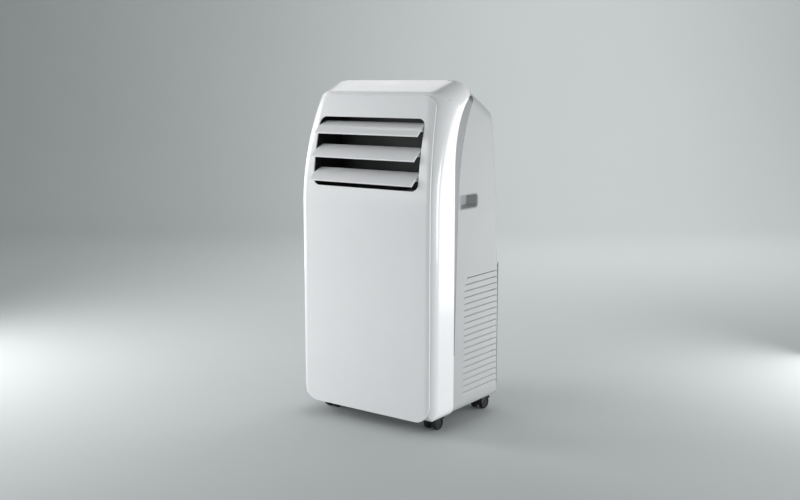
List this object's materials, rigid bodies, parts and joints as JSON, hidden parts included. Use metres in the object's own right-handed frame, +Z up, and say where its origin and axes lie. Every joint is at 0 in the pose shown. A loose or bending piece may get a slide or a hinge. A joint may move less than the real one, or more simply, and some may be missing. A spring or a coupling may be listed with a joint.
{
  "type": "portable air conditioner",
  "caption": "Upright portable air conditioner on twin-wheel castors, with a curved front, linked outlet vanes, sloped control plate, slotted sides and a round exhaust port at the back.",
  "frame": {"origin": "on the floor, under the middle of the object's box", "axes": "+X to the object's left-hand side as seen from behind and to the right as seen from the front, +Y to the back, +Z up"},
  "size_m": [0.33, 0.2805, 0.68],
  "materials": {
    "gloss_white": "gloss",
    "satin_white": "satin",
    "inner_white": "matte",
    "key_white": "gloss",
    "satin_grey": "satin silver paint",
    "display_lens": "gloss",
    "duct_black": "matte",
    "castor_black": "satin",
    "rubber_black": "matte",
    "filter_mesh": "woven nylon mesh",
    "galvanised_steel": "galvanised",
    "coil_fins": "rolled fins",
    "copper_pipe": "drawn copper",
    "black_enamel": "black enamel",
    "motor_steel": "zinc plated",
    "circuit_board": "solder mask"
  },
  "bodies": {
    "chassis": {"front_shell": "gloss_white", "front_panel": "gloss_white", "control_panel": "gloss_white", "rear_shell": "satin_white", "rear_cover": "satin_white", "exhaust_collar": "satin_white", "handle_cup_left": "satin_white", "handle_cup_right": "satin_white", "drip_tray": "inner_white", "evaporator_scroll": "inner_white", "condenser_scroll": "inner_white", "side_trim_left": "satin_grey", "side_trim_right": "satin_grey", "display_window": "display_lens", "outlet_duct": "duct_black", "cord_gland": "rubber_black", "base_pan": "galvanised_steel", "electrical_box": "galvanised_steel", "evaporator_coil": "coil_fins", "condenser_coil": "coil_fins", "discharge_pipe": "copper_pipe", "suction_pipe": "copper_pipe", "compressor": "black_enamel", "vane_motor": "motor_steel", "evaporator_motor": "motor_steel", "condenser_motor": "motor_steel", "control_board": "circuit_board"},
    "vane_top": {"vane_top": "gloss_white"},
    "vane_middle": {"vane_middle": "gloss_white"},
    "vane_bottom": {"vane_bottom": "gloss_white"},
    "vane_link": {"vane_link": "duct_black"},
    "key_power": {"key_power": "key_white"},
    "key_mode": {"key_mode": "key_white"},
    "key_fan": {"key_fan": "key_white"},
    "key_up": {"key_up": "key_white"},
    "key_down": {"key_down": "key_white"},
    "evaporator_rotor": {"evaporator_wheel": "duct_black", "evaporator_shaft": "motor_steel"},
    "condenser_rotor": {"condenser_wheel": "duct_black", "condenser_shaft": "motor_steel"},
    "intake_filter_frame": {"intake_grille": "satin_white", "intake_filter": "filter_mesh"},
    "drain_plug_lower": {"drain_plug_lower": "rubber_black"},
    "drain_plug_upper": {"drain_plug_upper": "rubber_black"},
    "castor_front_left": {"castor_hood_front_left": "castor_black"},
    "castor_wheels_front_left": {"castor_wheel_front_left_left": "castor_black", "castor_wheel_front_left_right": "castor_black", "castor_axle_front_left": "motor_steel"},
    "castor_front_right": {"castor_hood_front_right": "castor_black"},
    "castor_wheels_front_right": {"castor_wheel_front_right_left": "castor_black", "castor_wheel_front_right_right": "castor_black", "castor_axle_front_right": "motor_steel"},
    "castor_rear_left": {"castor_hood_rear_left": "castor_black"},
    "castor_wheels_rear_left": {"castor_wheel_rear_left_left": "castor_black", "castor_wheel_rear_left_right": "castor_black", "castor_axle_rear_left": "motor_steel"},
    "castor_rear_right": {"castor_hood_rear_right": "castor_black"},
    "castor_wheels_rear_right": {"castor_wheel_rear_right_left": "castor_black", "castor_wheel_rear_right_right": "castor_black", "castor_axle_rear_right": "motor_steel"}
  },
  "joints": [
    {"name": "vane_top_tilt", "type": "hinge", "parent": "chassis", "child": "vane_top", "pos_m": [0, -0.09002, 0.588], "axis": [1, 0, 0], "range_deg": [-40, 26]},
    {"name": "vane_middle_tilt", "type": "hinge", "parent": "chassis", "child": "vane_middle", "pos_m": [0, -0.10106, 0.542], "axis": [1, 0, 0], "range_deg": [-40, 26]},
    {"name": "vane_bottom_tilt", "type": "hinge", "parent": "chassis", "child": "vane_bottom", "pos_m": [0, -0.10823, 0.496], "axis": [1, 0, 0], "range_deg": [-40, 26]},
    {"name": "vane_link_turn", "type": "hinge", "parent": "vane_top", "child": "vane_link", "pos_m": [0, -0.07602, 0.583], "axis": [1, 0, 0], "range_deg": [-26, 40]},
    {"name": "key_power_press", "type": "slide", "parent": "chassis", "child": "key_power", "axis": [0, 0.3531, -0.9356], "range_m": [0, 0.0012], "stiffness_N_per_m": 400, "springref_m": -0.0005},
    {"name": "key_mode_press", "type": "slide", "parent": "chassis", "child": "key_mode", "axis": [0, 0.3531, -0.9356], "range_m": [0, 0.0012], "stiffness_N_per_m": 400, "springref_m": -0.0005},
    {"name": "key_fan_press", "type": "slide", "parent": "chassis", "child": "key_fan", "axis": [0, 0.3531, -0.9356], "range_m": [0, 0.0012], "stiffness_N_per_m": 400, "springref_m": -0.0005},
    {"name": "key_up_press", "type": "slide", "parent": "chassis", "child": "key_up", "axis": [0, 0.3531, -0.9356], "range_m": [0, 0.0012], "stiffness_N_per_m": 400, "springref_m": -0.0005},
    {"name": "key_down_press", "type": "slide", "parent": "chassis", "child": "key_down", "axis": [0, 0.3531, -0.9356], "range_m": [0, 0.0012], "stiffness_N_per_m": 400, "springref_m": -0.0005},
    {"name": "evaporator_fan_spin", "type": "hinge", "parent": "chassis", "child": "evaporator_rotor", "pos_m": [0, -0.11, 0.3931], "axis": [0, 1, 0], "continuous": true},
    {"name": "condenser_fan_spin", "type": "hinge", "parent": "chassis", "child": "condenser_rotor", "pos_m": [0.001, -0.004, 0.14], "axis": [1, 0, 0], "continuous": true},
    {"name": "castor_front_left_swivel", "type": "hinge", "parent": "chassis", "child": "castor_front_left", "pos_m": [-0.127, -0.076, 0.04], "axis": [0, 0, 1], "continuous": true},
    {"name": "castor_front_left_roll", "type": "hinge", "parent": "castor_front_left", "child": "castor_wheels_front_left", "pos_m": [-0.127, -0.067, 0.014], "axis": [1, 0, 0], "continuous": true},
    {"name": "castor_front_right_swivel", "type": "hinge", "parent": "chassis", "child": "castor_front_right", "pos_m": [0.127, -0.076, 0.04], "axis": [0, 0, 1], "continuous": true},
    {"name": "castor_front_right_roll", "type": "hinge", "parent": "castor_front_right", "child": "castor_wheels_front_right", "pos_m": [0.127, -0.067, 0.014], "axis": [1, 0, 0], "continuous": true},
    {"name": "castor_rear_left_swivel", "type": "hinge", "parent": "chassis", "child": "castor_rear_left", "pos_m": [-0.127, 0.096, 0.04], "axis": [0, 0, 1], "continuous": true},
    {"name": "castor_rear_left_roll", "type": "hinge", "parent": "castor_rear_left", "child": "castor_wheels_rear_left", "pos_m": [-0.127, 0.105, 0.014], "axis": [1, 0, 0], "continuous": true},
    {"name": "castor_rear_right_swivel", "type": "hinge", "parent": "chassis", "child": "castor_rear_right", "pos_m": [0.127, 0.096, 0.04], "axis": [0, 0, 1], "continuous": true},
    {"name": "castor_rear_right_roll", "type": "hinge", "parent": "castor_rear_right", "child": "castor_wheels_rear_right", "pos_m": [0.127, 0.105, 0.014], "axis": [1, 0, 0], "continuous": true},
    {"name": "intake_grille_pull", "type": "slide", "parent": "chassis", "child": "intake_filter_frame", "axis": [0, 1, 0], "range_m": [0, 0.06]},
    {"name": "drain_plug_lower_pull", "type": "slide", "parent": "chassis", "child": "drain_plug_lower", "axis": [0, 1, 0], "range_m": [0, 0.03]},
    {"name": "drain_plug_upper_pull", "type": "slide", "parent": "chassis", "child": "drain_plug_upper", "axis": [0, 1, 0], "range_m": [0, 0.03]}
  ],
  "couplings": [
    {"joint": "vane_middle_tilt", "follows": "vane_top_tilt", "ratio": 1},
    {"joint": "vane_bottom_tilt", "follows": "vane_top_tilt", "ratio": 1},
    {"joint": "vane_link_turn", "follows": "vane_top_tilt", "ratio": -1}
  ]
}
